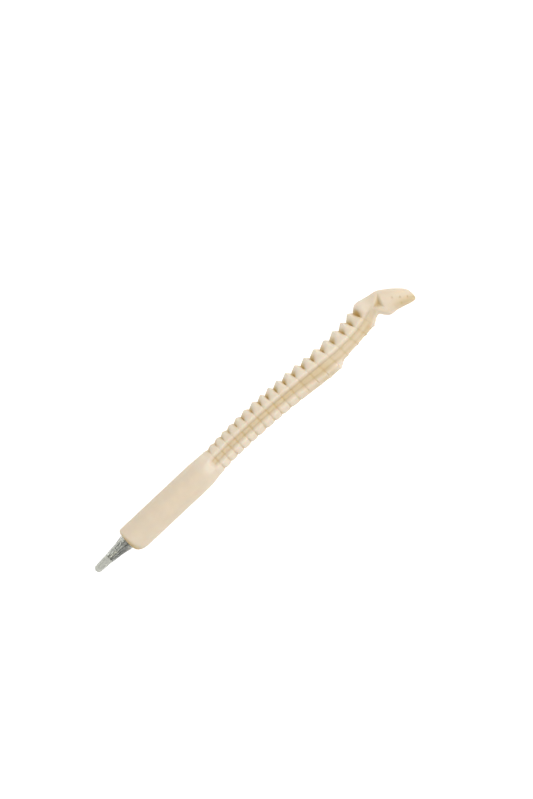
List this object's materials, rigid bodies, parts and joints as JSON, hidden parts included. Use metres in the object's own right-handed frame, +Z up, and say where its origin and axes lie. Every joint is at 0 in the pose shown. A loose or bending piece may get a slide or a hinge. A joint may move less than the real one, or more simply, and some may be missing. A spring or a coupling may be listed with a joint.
{
  "type": "ballpoint pen",
  "caption": "Novelty ballpoint pen whose barrel is moulded as a backbone with a bent sacrum, with a plug-in refill and a soft guard on its tip.",
  "frame": {"origin": "on the surface the pen lies on, under the middle of its box", "axes": "+X along the grip from the writing tip to the sacrum, +Y out of the bone's back, +Z up, across the pen's plane of symmetry"},
  "size_m": [0.1768, 0.0162, 0.013],
  "materials": {
    "bone_plastic": "satin, warm ivory",
    "smoke_plastic": "clear smoky grey",
    "guard_plastic": "soft, clear grey",
    "tube_plastic": "clear",
    "ink": "black paste",
    "grease": "clear yellowish gel",
    "nickel_silver": "turned",
    "carbide": "ground"
  },
  "bodies": {
    "barrel": {"barrel_shell_upper": "bone_plastic", "barrel_shell_lower": "bone_plastic"},
    "refill": {"nib_cone": "smoke_plastic", "point_socket": "nickel_silver", "ink_tube": "tube_plastic", "ink_column": "ink", "grease_follower": "grease"},
    "ball": {"point_ball": "carbide"},
    "guard": {"tip_guard": "guard_plastic"}
  },
  "joints": [
    {"name": "refill_pull", "type": "slide", "parent": "barrel", "child": "refill", "axis": [-1, 0, 0], "range_m": [0, 0.095]},
    {"name": "ball_roll", "type": "hinge", "parent": "refill", "child": "ball", "pos_m": [-0.08593, 0.00067, 0.00648], "axis": [0, 0, 1], "continuous": true},
    {"name": "tip_guard_pull", "type": "slide", "parent": "refill", "child": "guard", "axis": [-1, 0, 0], "range_m": [0, 0.012]}
  ]
}
